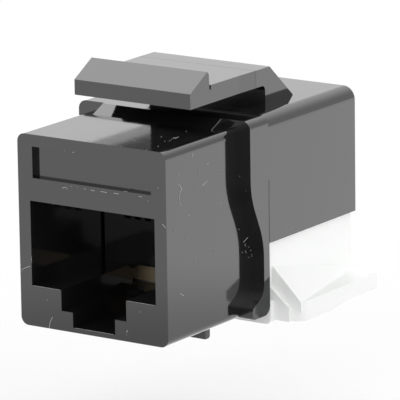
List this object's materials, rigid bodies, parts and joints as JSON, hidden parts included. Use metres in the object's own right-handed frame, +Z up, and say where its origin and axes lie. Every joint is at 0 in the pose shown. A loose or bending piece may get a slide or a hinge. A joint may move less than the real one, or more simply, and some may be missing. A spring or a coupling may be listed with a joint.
{
  "type": "keystone jack",
  "caption": "Black snap-in network socket module with a sprung latch on top, an insulation displacement block behind and a white press-on wire cap underneath.",
  "frame": {"origin": "middle of the socket's mouth, on the front face", "axes": "+Z up, towards the latch; -Y out of the socket, so +Y points towards the rear; +X to the right seen from the socket side"},
  "size_m": [0.022, 0.0259, 0.0222],
  "materials": {
    "black_plastic": "smooth moulded, glossy, with fine handling scratches",
    "white_plastic": "smooth moulded, semi-gloss",
    "gold_plate": "gold-plated spring strip",
    "tinned_bronze": "tin-plated stamping",
    "board_laminate": "epoxy laminate with a brown mask"
  },
  "bodies": {
    "jack": {"front_housing": "black_plastic", "rear_cover": "black_plastic", "contact_carrier": "black_plastic", "circuit_board": "board_laminate", "idc_block": "black_plastic", "contact_1": "gold_plate", "contact_2": "gold_plate", "contact_3": "gold_plate", "contact_4": "gold_plate", "contact_5": "gold_plate", "contact_6": "gold_plate", "contact_7": "gold_plate", "contact_8": "gold_plate", "idc_clip_1": "tinned_bronze", "idc_clip_2": "tinned_bronze", "idc_clip_3": "tinned_bronze", "idc_clip_4": "tinned_bronze", "idc_clip_5": "tinned_bronze", "idc_clip_6": "tinned_bronze", "idc_clip_7": "tinned_bronze", "idc_clip_8": "tinned_bronze"},
    "latch": {"latch_arm": "black_plastic"},
    "cap": {"wire_cap": "white_plastic"}
  },
  "joints": [
    {"name": "latch_bend", "type": "hinge", "parent": "jack", "child": "latch", "pos_m": [0, 0.01519, 0.01127], "axis": [1, 0, 0], "range_deg": [0, 12], "stiffness_Nm_per_rad": 0.05},
    {"name": "cap_lift", "type": "slide", "parent": "jack", "child": "cap", "axis": [0, 0, -1], "range_m": [0, 0.008]}
  ]
}
